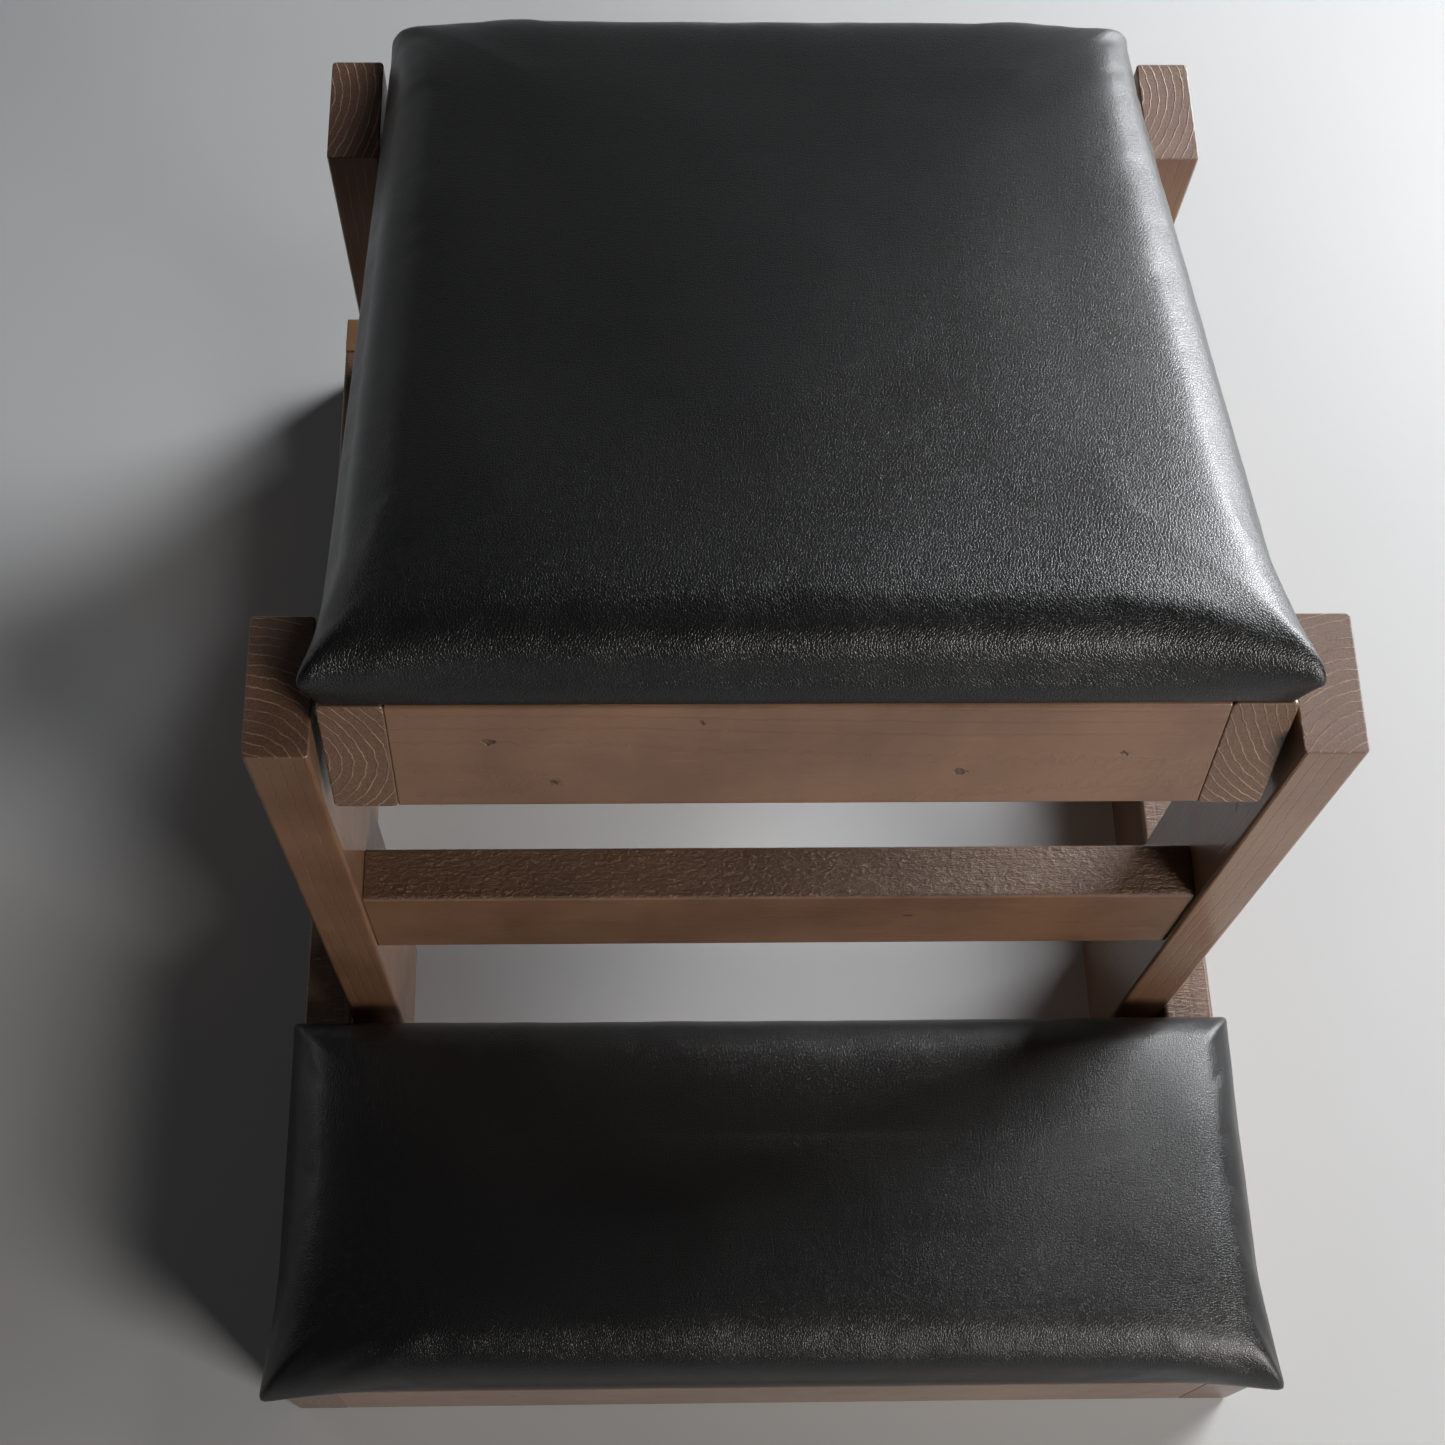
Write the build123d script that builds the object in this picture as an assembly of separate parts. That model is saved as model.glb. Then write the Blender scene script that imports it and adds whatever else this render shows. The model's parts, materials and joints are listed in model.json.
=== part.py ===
from build123d import *
import os
from math import cos, radians, sin

# Kneeling massage chair: a painted timber frame, an upholstered seat that slopes down to the rear
# and a long upholstered kneeler at floor level in front.
# Millimetres. +Z is up, +X is the sitter's left-to-right, +Y runs from the kneeler to the rear.
# The origin is the middle of the footprint, on the floor.

# ---- driving dimensions ----
TIMBER_THICKNESS = 38.0
TIMBER_WIDTH = 89.0
EASED_EDGE = 3.0          # radius along the length of every timber
END_EDGE = 1.2            # radius round the sawn ends

FRAME_WIDTH = 640.0       # over the outer faces of the posts
POST_SPACING = 545.0      # front face of a front post to front face of a rear post
FRONT_POST_HEIGHT = 545.0
FRONT_POST_RISE = 5.0     # the top is cut a little higher at its rear edge
REAR_POST_HEIGHT = 425.0
REAR_POST_RISE = 3.0

KNEELER_REACH = 288.0     # floor rails run this far in front of the posts
KNEELER_POST_GAP = 12.0
KNEELER_SIDE_OVERHANG = 4.0

STRETCHER_TOP = 320.0
STRETCHER_SETBACK = 4.0

SEAT_SLOPE = 14.0         # degrees, down towards the rear
SEAT_FRONT_HEIGHT = 564.0
SEAT_SETBACK = 22.0
SEAT_LENGTH = 650.0
SEAT_POST_GAP = 5.0

BOARD_THICKNESS = 12.0
FOAM_THICKNESS = 44.0
COVER_THICKNESS = 1.0
COVER_MARGIN = 52.0       # how far the cover is turned in under the board
CUSHION_CREST_RADIUS = 18.0
CUSHION_CORNER_RADIUS = 12.0
FOAM_CLEARANCE = 0.3

STAPLE_INSET = 47.0
STAPLE_PITCH = 60.0
STAPLE_CROWN = 10.0
STAPLE_LEG = 8.0
STAPLE_WIDE = 1.2
STAPLE_THICK = 0.6

SCREW_RADIUS = 2.5
SCREW_HEAD_RADIUS = 5.0
SCREW_HEAD_DEPTH = 4.0
SCREW_TIP = 7.0
SCREW_SUNK = 0.5
POST_SCREW = 65.0         # floor rail to post
END_SCREW = 100.0         # through one timber into another's end grain
SCREW_ROW_INSET = 22.0    # screw row to the edge of the timber
DIAGONAL_INSET = 32.0     # the same for the diagonal pairs, clear of the end-grain screws

BOLT_RADIUS = 4.0
BOLT_LENGTH = 100.0
BOLT_HEAD_RADIUS = 10.0
BOLT_HEAD_HEIGHT = 4.5
BOLT_NECK = 8.0
BOLT_NECK_DEPTH = 4.5
BOLT_CLEARANCE = 0.25
BOLT_FRONT_RUN = 55.0     # along the seat from its front edge
BOLT_REAR_RUN = 590.0
WASHER_RADIUS = 12.0
WASHER_THICKNESS = 1.6
NUT_ACROSS_FLATS = 13.0
NUT_HEIGHT = 6.5
THREAD_CLEARANCE = 0.05

BRACKET_LEG = 25.0
BRACKET_WIDTH = 20.0
BRACKET_THICKNESS = 2.0
BRACKET_SCREW_RADIUS = 1.75
BRACKET_SCREW_HEAD_RADIUS = 3.5
BRACKET_SCREW_HEAD_HEIGHT = 2.0
BRACKET_RAIL_SCREW = 25.0
BRACKET_BOARD_SCREW = 11.0
BRACKET_HOLE_OFFSET = 15.0

# ---- derived places ----
OVERALL_DEPTH = KNEELER_REACH + POST_SPACING + TIMBER_WIDTH + TIMBER_THICKNESS
RAIL_FRONT = -OVERALL_DEPTH / 2
RAIL_REAR = OVERALL_DEPTH / 2 - TIMBER_THICKNESS
FRONT_POST_FACE = RAIL_FRONT + KNEELER_REACH
REAR_POST_FACE = FRONT_POST_FACE + POST_SPACING
POST_OUTER = FRAME_WIDTH / 2
POST_INNER = POST_OUTER - TIMBER_THICKNESS
FLOOR_RAIL_OUTER = POST_OUTER + TIMBER_THICKNESS
SEAT_HALF_WIDTH = POST_INNER - SEAT_POST_GAP
SEAT_INNER_HALF_WIDTH = SEAT_HALF_WIDTH - TIMBER_THICKNESS
KNEELER_REAR = FRONT_POST_FACE - KNEELER_POST_GAP
CUSHION_HEIGHT = BOARD_THICKNESS + FOAM_THICKNESS + 2 * COVER_THICKNESS
SIDES = {"left": -1, "right": 1}

# Seat plane: its origin is the middle of the frame's front top edge and its y runs down the seat.
SEAT_PLANE = Plane(
    origin=(0, FRONT_POST_FACE + SEAT_SETBACK, SEAT_FRONT_HEIGHT),
    x_dir=(1, 0, 0),
    z_dir=(0, sin(radians(SEAT_SLOPE)), cos(radians(SEAT_SLOPE))),
)
# Kneeler plane: the top of the floor rails, with its origin at the middle of their front edge.
KNEELER_PLANE = Plane(origin=(0, RAIL_FRONT, TIMBER_WIDTH), x_dir=(1, 0, 0), z_dir=(0, 0, 1))


# ---- timber ----
def block(x0, x1, y0, y1, z0, z1):
    """A plain box between two corners."""
    return Pos((x0 + x1) / 2, (y0 + y1) / 2, (z0 + z1) / 2) * Box(x1 - x0, y1 - y0, z1 - z0)


def timber(x0, x1, y0, y1, z0, z1, along):
    """Planed timber: rounded along its length and just broken round its sawn ends."""
    blank = block(x0, x1, y0, y1, z0, z1)
    blank = fillet(blank.edges().filter_by(along), EASED_EDGE)
    ends = blank.faces().filter_by(along)
    return fillet(ends.edges(), END_EDGE)


def post(side, face, height, rise):
    """Upright timber whose top is cut slightly out of level, higher at the rear."""
    inner = side * POST_INNER
    outer = side * POST_OUTER
    rear = face + TIMBER_WIDTH
    outline = Polyline((face, 0), (rear, 0), (rear, height + rise), (face, height), close=True)
    profile = make_face(Plane.YZ.offset(min(inner, outer)) * outline)
    blank = extrude(profile, TIMBER_THICKNESS, dir=(1, 0, 0))
    blank = fillet(blank.edges().filter_by(Axis.Z), EASED_EDGE)
    ends = [blank.faces().sort_by(Axis.Z)[0], blank.faces().sort_by(Axis.Z)[-1]]
    return fillet(ends[0].edges() + ends[1].edges(), END_EDGE)


def floor_rail(side):
    """Side rail on edge on the floor, against the outer faces of two posts."""
    xs = sorted((side * POST_OUTER, side * FLOOR_RAIL_OUTER))
    return timber(xs[0], xs[1], RAIL_FRONT, RAIL_REAR, 0, TIMBER_WIDTH, Axis.Y)


def rear_floor_rail():
    """Cross rail over the rear ends of both side rails."""
    rear = RAIL_REAR + TIMBER_THICKNESS
    return timber(-FLOOR_RAIL_OUTER, FLOOR_RAIL_OUTER, RAIL_REAR, rear, 0, TIMBER_WIDTH, Axis.X)


def kneeler_rail(front):
    """Cross rail between the side rails, under one long edge of the kneeler."""
    return timber(
        -POST_OUTER, POST_OUTER, front, front + TIMBER_THICKNESS, 0, TIMBER_WIDTH, Axis.X
    )


def front_stretcher():
    """Rail on edge between the inner faces of the front posts."""
    front = FRONT_POST_FACE + STRETCHER_SETBACK
    rear = front + TIMBER_THICKNESS
    return timber(
        -POST_INNER, POST_INNER, front, rear, STRETCHER_TOP - TIMBER_WIDTH, STRETCHER_TOP, Axis.X
    )


def seat_side_rail(side):
    """Side rail of the sloping seat frame, in the seat plane."""
    xs = sorted((side * SEAT_INNER_HALF_WIDTH, side * SEAT_HALF_WIDTH))
    return timber(xs[0], xs[1], 0, SEAT_LENGTH, -TIMBER_WIDTH, 0, Axis.Y)


def seat_cross_rail(run):
    """Cross rail between the seat's side rails, in the seat plane."""
    half = SEAT_INNER_HALF_WIDTH
    return timber(-half, half, run, run + TIMBER_THICKNESS, -TIMBER_WIDTH, 0, Axis.X)


# ---- fasteners, each made along +X from its head ----
def wood_screw(length):
    """Countersunk wood screw with its head face at x = 0."""
    outline = Polyline(
        (0, 0),
        (0, SCREW_HEAD_RADIUS),
        (SCREW_HEAD_DEPTH, SCREW_RADIUS),
        (length - SCREW_TIP, SCREW_RADIUS),
        (length, 0),
        close=True,
    )
    return revolve(make_face(outline), Axis.X)


def carriage_bolt():
    """Domed bolt with a square neck; the underside of its head is at x = 0."""
    dome_radius = (BOLT_HEAD_RADIUS**2 + BOLT_HEAD_HEIGHT**2) / (2 * BOLT_HEAD_HEIGHT)
    dome = Pos(dome_radius - BOLT_HEAD_HEIGHT, 0, 0) * Sphere(dome_radius)
    dome = dome & block(-BOLT_HEAD_HEIGHT, 0, -dome_radius, dome_radius, -dome_radius, dome_radius)
    half_neck = BOLT_NECK / 2
    neck = block(0, BOLT_NECK_DEPTH, -half_neck, half_neck, -half_neck, half_neck)
    shank = Pos(BOLT_LENGTH / 2, 0, 0) * Rot(0, 90, 0) * Cylinder(BOLT_RADIUS, BOLT_LENGTH)
    return dome + neck + shank


def bolt_hole():
    """Clearance for the bolt's neck and shank."""
    half_neck = BOLT_NECK / 2
    neck = block(0, BOLT_NECK_DEPTH, -half_neck, half_neck, -half_neck, half_neck)
    radius = BOLT_RADIUS + BOLT_CLEARANCE
    return neck + Pos(BOLT_LENGTH / 2, 0, 0) * Rot(0, 90, 0) * Cylinder(radius, BOLT_LENGTH)


def ring(outer, inner, start, thickness):
    """Flat ring round the X axis."""
    spin = Pos(start + thickness / 2, 0, 0) * Rot(0, 90, 0)
    return spin * (Cylinder(outer, thickness) - Cylinder(inner, thickness))


def hexagon_nut(start):
    """Nut round the X axis."""
    blank = extrude(RegularPolygon(NUT_ACROSS_FLATS / 2, 6, major_radius=False), NUT_HEIGHT)
    bore = Cylinder(BOLT_RADIUS + THREAD_CLEARANCE, 2 * NUT_HEIGHT)
    return Pos(start, 0, 0) * Rot(0, 90, 0) * (blank - bore)


def pointing(side):
    """Turn a fastener made along +X so that it enters from the outer face on this side."""
    return Rot(0, 0, 180) if side > 0 else Rot(0, 0, 0)


def rows(z0, inset=SCREW_ROW_INSET):
    """Heights of the two screws through a timber on edge whose lower edge is at z0."""
    return (z0 + inset, z0 + TIMBER_WIDTH - inset)


def side_screws(outer, positions, length):
    """Screws driven in from both sides at each (y, z)."""
    screw = wood_screw(length)
    head = outer - SCREW_SUNK
    return [Pos(s * head, y, z) * pointing(s) * screw for s in SIDES.values() for y, z in positions]


def floor_rail_screws():
    """Two screws through each side rail into each post, set diagonally."""
    low, high = rows(0, DIAGONAL_INSET)
    places = []
    for face in (FRONT_POST_FACE, REAR_POST_FACE):
        places.append((face + SCREW_ROW_INSET, high))
        places.append((face + TIMBER_WIDTH - SCREW_ROW_INSET, low))
    return side_screws(FLOOR_RAIL_OUTER, places, POST_SCREW)


def rear_floor_rail_screws():
    """Two screws through the rear cross rail into each side rail's end."""
    screw = Rot(0, 0, -90) * wood_screw(END_SCREW)
    x = (POST_OUTER + FLOOR_RAIL_OUTER) / 2
    y = RAIL_REAR + TIMBER_THICKNESS - SCREW_SUNK
    return [Pos(s * x, y, z) * screw for s in SIDES.values() for z in rows(0)]


def kneeler_rail_screws():
    """Two screws through each side rail into each end of both kneeler rails."""
    middles = (RAIL_FRONT + TIMBER_THICKNESS / 2, KNEELER_REAR - TIMBER_THICKNESS / 2)
    return side_screws(FLOOR_RAIL_OUTER, [(y, z) for y in middles for z in rows(0)], END_SCREW)


def stretcher_screws():
    """Two screws through each front post into the stretcher's ends."""
    middle = FRONT_POST_FACE + STRETCHER_SETBACK + TIMBER_THICKNESS / 2
    places = [(middle, z) for z in rows(STRETCHER_TOP - TIMBER_WIDTH)]
    return side_screws(POST_OUTER, places, END_SCREW)


def seat_frame_screws():
    """Two screws through each seat side rail into each cross rail, in the seat plane."""
    middles = (TIMBER_THICKNESS / 2, SEAT_LENGTH - TIMBER_THICKNESS / 2)
    places = [(y, z) for y in middles for z in rows(-TIMBER_WIDTH)]
    return side_screws(SEAT_HALF_WIDTH, places, END_SCREW)


def at_seat_bolts(shape):
    """Copies of a fastener at the four seat bolts; its x = 0 is the outer face of a post."""
    copies = []
    for side in SIDES.values():
        for run in (BOLT_FRONT_RUN, BOLT_REAR_RUN):
            spot = SEAT_PLANE.from_local_coords(Vector(0, run, -TIMBER_WIDTH / 2))
            copies.append(Pos(side * POST_OUTER, spot.Y, spot.Z) * pointing(side) * shape)
    return copies


# ---- cushions, each in a plane whose z = 0 is the top of its frame ----
def cushion_form(half_width, length, inset, floor):
    """Box with rounded top edges and corners, inset all round and starting at the given height."""
    x = half_width - inset
    body = block(-x, x, inset, length - inset, floor, CUSHION_HEIGHT - inset)
    body = fillet(body.edges().filter_by(Axis.Z), CUSHION_CORNER_RADIUS - inset)
    top = body.faces().sort_by(Axis.Z)[-1]
    return fillet(top.edges(), CUSHION_CREST_RADIUS - inset)


def cushion_board(half_width, length):
    """Plywood base, inside the cover."""
    x = half_width - COVER_THICKNESS
    top = COVER_THICKNESS + BOARD_THICKNESS
    body = block(-x, x, COVER_THICKNESS, length - COVER_THICKNESS, COVER_THICKNESS, top)
    return fillet(body.edges().filter_by(Axis.Z), CUSHION_CORNER_RADIUS - COVER_THICKNESS)


def cushion_foam(half_width, length):
    """Foam between the board and the cover."""
    inset = COVER_THICKNESS + FOAM_CLEARANCE
    return cushion_form(half_width, length, inset, COVER_THICKNESS + BOARD_THICKNESS)


def cushion_cover(half_width, length):
    """Cover wrapped over the foam and board and turned in underneath."""
    outside = cushion_form(half_width, length, 0, 0)
    hollow = cushion_form(half_width, length, COVER_THICKNESS, COVER_THICKNESS)
    x = half_width - COVER_MARGIN
    window = block(-x, x, COVER_MARGIN, length - COVER_MARGIN, -1, 2 * COVER_THICKNESS)
    return outside - hollow - window


def staple():
    """Staple lying along X with its crown under z = 0 and its legs up into the board."""
    half = STAPLE_CROWN / 2
    thick = STAPLE_WIDE / 2
    crown = block(-half, half, -thick, thick, -STAPLE_THICK, 0)
    left = block(-half, -half + STAPLE_THICK, -thick, thick, 0, STAPLE_LEG)
    right = block(half - STAPLE_THICK, half, -thick, thick, 0, STAPLE_LEG)
    return crown + left + right


def spread(low, high):
    """Evenly spaced places between two limits, close to the staple pitch."""
    count = round((high - low) / STAPLE_PITCH)
    step = (high - low) / count
    return [low + (i + 0.5) * step for i in range(count)]


def cushion_staples(half_width, length):
    """Staples all round the turned-in edge of a cover."""
    x = half_width - STAPLE_INSET
    along_x = [Pos(p, y, 0) for p in spread(-x, x) for y in (STAPLE_INSET, length - STAPLE_INSET)]
    across = Rot(0, 0, 90)
    runs = spread(STAPLE_INSET, length - STAPLE_INSET)
    along_y = [Pos(s * x, p, 0) * across for p in runs for s in SIDES.values()]
    return [place * staple() for place in along_x + along_y]


# ---- angle brackets that hold each cushion to its frame ----
def bracket():
    """Angle bracket with its corner at the origin: one leg down, one leg along +X."""
    half = BRACKET_WIDTH / 2
    down = block(0, BRACKET_THICKNESS, -half, half, -BRACKET_LEG, 0)
    along = block(0, BRACKET_LEG, -half, half, -BRACKET_THICKNESS, 0)
    return down + along - bracket_screws_raw()


def pan_screw(length):
    """Small pan-head screw along +Z with the underside of its head at z = 0."""
    head = Pos(0, 0, -BRACKET_SCREW_HEAD_HEIGHT / 2) * Cylinder(
        BRACKET_SCREW_HEAD_RADIUS, BRACKET_SCREW_HEAD_HEIGHT
    )
    straight = length - 2 * BRACKET_SCREW_RADIUS
    shank = Pos(0, 0, straight / 2) * Cylinder(BRACKET_SCREW_RADIUS, straight)
    tip = Pos(0, 0, length - BRACKET_SCREW_RADIUS) * Cone(
        BRACKET_SCREW_RADIUS, 0, 2 * BRACKET_SCREW_RADIUS
    )
    return head + shank + tip


def bracket_screws_raw():
    """The two screws of one bracket: one up into the board, one into the rail."""
    up = Pos(BRACKET_HOLE_OFFSET, 0, -BRACKET_THICKNESS) * pan_screw(BRACKET_BOARD_SCREW)
    into_rail = Pos(BRACKET_THICKNESS, 0, -BRACKET_HOLE_OFFSET) * Rot(0, -90, 0)
    return up + into_rail * pan_screw(BRACKET_RAIL_SCREW)


def at_brackets(shape, inner_half_width, runs):
    """Copies of a shape at the brackets on the inner faces of both side rails."""
    copies = []
    for side in SIDES.values():
        turn = Rot(0, 0, 180) if side > 0 else Rot(0, 0, 0)
        for run in runs:
            copies.append(Pos(side * inner_half_width, run, 0) * turn * shape)
    return copies


def bracket_runs(length):
    """Two brackets on each side, halfway between neighbouring staples."""
    places = spread(STAPLE_INSET, length - STAPLE_INSET)
    last = len(places) - 1
    first_gap = (places[0] + places[1]) / 2
    last_gap = (places[last - 1] + places[last]) / 2
    return (first_gap, last_gap)


# ---- assembly ----
def solids_of(shapes):
    """All the separate solids of a list of shapes."""
    return [solid for shape in shapes for solid in shape.solids()]


def cut(shape, cutters):
    """Take a list of fasteners out of a timber."""
    return shape - solids_of(cutters) if cutters else shape


def placed(plane, shapes):
    """Move a list of shapes from a plane's own coordinates into the chair's."""
    return [plane.location * shape for shape in shapes]


def cushion_nodes(name, plane, half_width, length, inner_half_width):
    """Board, foam, cover, staples, brackets and bracket screws of one cushion."""
    runs = bracket_runs(length)
    staples = cushion_staples(half_width, length)
    screws = at_brackets(bracket_screws_raw(), inner_half_width, runs)
    brackets = at_brackets(bracket(), inner_half_width, runs)
    board = cut(cut(cushion_board(half_width, length), staples), screws)
    cover = cut(cut(cushion_cover(half_width, length), staples), screws)
    local = {
        f"{name}_board": [board],
        f"{name}_foam": [cushion_foam(half_width, length)],
        f"{name}_cover": [cover],
        f"{name}_cover_staples": staples,
        f"{name}_brackets": brackets,
        f"{name}_bracket_screws": screws,
    }
    return {node: placed(plane, shapes) for node, shapes in local.items()}


def fasteners():
    """Every screw and bolt of the timber frame, by node."""
    inside = 2 * TIMBER_THICKNESS + SEAT_POST_GAP
    bore = BOLT_RADIUS + BOLT_CLEARANCE
    return {
        "floor_rail_screws": floor_rail_screws(),
        "rear_floor_rail_screws": rear_floor_rail_screws(),
        "kneeler_rail_screws": kneeler_rail_screws(),
        "stretcher_screws": stretcher_screws(),
        "seat_frame_screws": placed(SEAT_PLANE, seat_frame_screws()),
        "seat_bolts": at_seat_bolts(carriage_bolt()),
        "seat_spacers": at_seat_bolts(ring(WASHER_RADIUS, bore, TIMBER_THICKNESS, SEAT_POST_GAP)),
        "seat_washers": at_seat_bolts(ring(WASHER_RADIUS, bore, inside, WASHER_THICKNESS)),
        "seat_nuts": at_seat_bolts(hexagon_nut(inside + WASHER_THICKNESS)),
    }


def timbers(fixings, bracket_screws):
    """Every timber with the holes that its fasteners need, by node."""
    screws = [s for node, shapes in fixings.items() if node.endswith("screws") for s in shapes]
    holes = screws + at_seat_bolts(bolt_hole()) + bracket_screws
    nodes = {}
    for name, side in SIDES.items():
        nodes[f"front_{name}_post"] = post(side, FRONT_POST_FACE, FRONT_POST_HEIGHT, FRONT_POST_RISE)
        nodes[f"rear_{name}_post"] = post(side, REAR_POST_FACE, REAR_POST_HEIGHT, REAR_POST_RISE)
        nodes[f"{name}_floor_rail"] = floor_rail(side)
        nodes[f"{name}_seat_rail"] = SEAT_PLANE.location * seat_side_rail(side)
    nodes["rear_floor_rail"] = rear_floor_rail()
    nodes["kneeler_front_rail"] = kneeler_rail(RAIL_FRONT)
    nodes["kneeler_rear_rail"] = kneeler_rail(KNEELER_REAR - TIMBER_THICKNESS)
    nodes["front_stretcher"] = front_stretcher()
    nodes["front_seat_rail"] = SEAT_PLANE.location * seat_cross_rail(0)
    nodes["rear_seat_rail"] = SEAT_PLANE.location * seat_cross_rail(SEAT_LENGTH - TIMBER_THICKNESS)
    return {name: [drilled(shape, holes)] for name, shape in nodes.items()}


def drilled(shape, holes):
    """Cut only the holes whose boxes reach this timber."""
    box = shape.bounding_box()
    near = [hole for hole in holes if box.overlaps(hole.bounding_box())]
    return cut(shape, near)


def main():
    os.makedirs("parts", exist_ok=True)
    kneeler_length = KNEELER_REAR - RAIL_FRONT
    seat = cushion_nodes("seat", SEAT_PLANE, SEAT_HALF_WIDTH, SEAT_LENGTH, SEAT_INNER_HALF_WIDTH)
    kneeler_half_width = FLOOR_RAIL_OUTER + KNEELER_SIDE_OVERHANG
    kneeler = cushion_nodes(
        "kneeler", KNEELER_PLANE, kneeler_half_width, kneeler_length, POST_OUTER
    )
    fixings = fasteners()
    bracket_screws = seat["seat_bracket_screws"] + kneeler["kneeler_bracket_screws"]
    nodes = timbers(fixings, bracket_screws) | fixings | seat | kneeler
    for name, shapes in nodes.items():
        solids = solids_of(shapes)
        shape = solids[0] if len(solids) == 1 else Compound(children=solids)
        export_step(shape, f"parts/{name}.step")


main()
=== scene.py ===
import json
import math

import bpy
from mathutils import Euler, Matrix, Vector, noise


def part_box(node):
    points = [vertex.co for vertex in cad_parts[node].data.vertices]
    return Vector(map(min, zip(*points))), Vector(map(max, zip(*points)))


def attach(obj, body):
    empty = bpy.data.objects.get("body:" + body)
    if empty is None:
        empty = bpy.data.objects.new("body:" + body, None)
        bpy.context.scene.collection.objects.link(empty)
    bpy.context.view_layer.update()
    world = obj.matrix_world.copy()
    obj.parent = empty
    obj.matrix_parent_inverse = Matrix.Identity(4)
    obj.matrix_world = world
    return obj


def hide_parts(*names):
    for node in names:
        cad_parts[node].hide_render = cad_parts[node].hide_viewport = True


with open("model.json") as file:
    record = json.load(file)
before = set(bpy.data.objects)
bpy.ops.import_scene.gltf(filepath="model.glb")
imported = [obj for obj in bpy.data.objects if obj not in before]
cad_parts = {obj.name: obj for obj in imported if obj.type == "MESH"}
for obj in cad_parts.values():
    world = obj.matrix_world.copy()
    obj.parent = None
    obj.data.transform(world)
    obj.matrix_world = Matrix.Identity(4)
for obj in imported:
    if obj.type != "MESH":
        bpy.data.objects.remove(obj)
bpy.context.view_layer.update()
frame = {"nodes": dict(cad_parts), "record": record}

MM = 0.001

# The seat slopes down to the rear, and its length runs down the slope.
SEAT_SLOPE = math.radians(14)
SEAT_LENGTH = 0.650

# A cushion's board lies this high over its underside, and its cover turns under by the margin.
COVER_THICKNESS = 1.0
BOARD_TOP = 13.0
COVER_MARGIN = 52.0
LINING_GAP = 0.06
# The lining's ring on the board, its ring half way down the edge, and the rings of the margin.
LINING_INSET = 6.0
LINING_MIDDLE = 7.0
MARGIN_INSETS = (35, 18, 7)

# Mesh cells and the samples taken down a cushion's edge, before the last subdivision.
CELL = 7.5
EDGE_SAMPLES = 26

# Inset and height in mm of a cushion's edge, from its bottom to its top, half way along a side.
SIDE_PROFILE = (
    (0.6, 0), (-0.5, 6), (0, 13), (1.2, 25), (4, 36), (10.5, 45.5), (21, 52), (36, 55.6),
    (62, 57.6), (100, 58.8),
)
# The same at the corners, where the cover is folded and pinched to a tip.
SEAT_CORNER = (
    (1, 0), (-1, 6), (-4, 14), (-8, 23), (-5, 32), (4, 40), (19, 47), (40, 52.5),
    (68, 56.5), (100, 58.8),
)
KNEELER_CORNER = (
    (0, 0), (-4, 5), (-8, 11), (-8, 19), (-2, 29), (9, 38), (24, 46), (46, 52),
    (72, 56.5), (100, 58.8),
)
# The rear corners are rounder.
REAR_CORNER = (
    (0.8, 0), (0, 6), (0, 13), (1, 23), (5, 32), (12, 40), (24, 47), (43, 52.5),
    (68, 56.5), (100, 58.8),
)
# How far along a side, in mm, a corner's own profile is felt.
CORNER_REACH = 95.0

# Small folds that fan out from a centre just outside each corner. They deepen from the corner to
# the start, fade out at the reach, and stay above the floor.
CREASE_CENTRE = 8
CREASE_START = 18
CREASE_REACH = 62.0
CREASE_FLOOR = 16
CREASE_DEPTH = 0.55
CREASE_RATE = 9

# How far the stretched cover draws in between the corners, at the sides and at the rear.
SEAT_WAIST = (6.0, 7.0)
KNEELER_WAIST = (3.5, 1.0)

# Cloth simulation of a cover: how hard it is blown, for how long, and how far a point may move.
PRESSURE = 6.0
LAST_FRAME = 10
SWELL_CAP = 3.0
HOLD_ABOVE_BOARD = 4.0

# The photo's camera, solved from the timbers' corners and edges. Place in metres, lens in mm.
CAMERA_PLACE = Vector((-0.1004, -0.6669, 1.5122))
CAMERA_YAW = math.radians(3.085)
CAMERA_TILT = math.radians(22.35)
CAMERA_ROLL = math.radians(2.522)
CAMERA_LENS = 47.47
SENSOR_WIDTH = 36
CAMERA_SHIFT = (0.0356, 0.1117)

# The lights by azimuth and elevation in degrees, size in metres, power in watts and colour.
LIGHTS = {
    "key": (33, 42, 1.5, 85, (0.97, 0.98, 1.0)),
    "window": (41, 20, 1.3, 155, (0.95, 0.98, 1.0)),
    "fill": (-45, 29, 1.2, 104, (1.0, 0.96, 0.91)),
    "left": (158, 30, 1.6, 9, (0.97, 0.98, 1.0)),
}
LIGHT_DISTANCE = 3.6
LIGHT_TARGET = Vector((0, 0, 0.35))
# The pale wall round the studio and its dark ceiling, as background strengths, and the sines of
# the elevations between which one turns into the other.
WALL = 0.35
CEILING = 0.006
WALL_TOP = (0.02, 0.18)
WALL_COLOUR = (0.94, 0.96, 1.0, 1.0)
FLOOR_HALF = 8.0


# ---------------------------------------------------------------- node graphs


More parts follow.
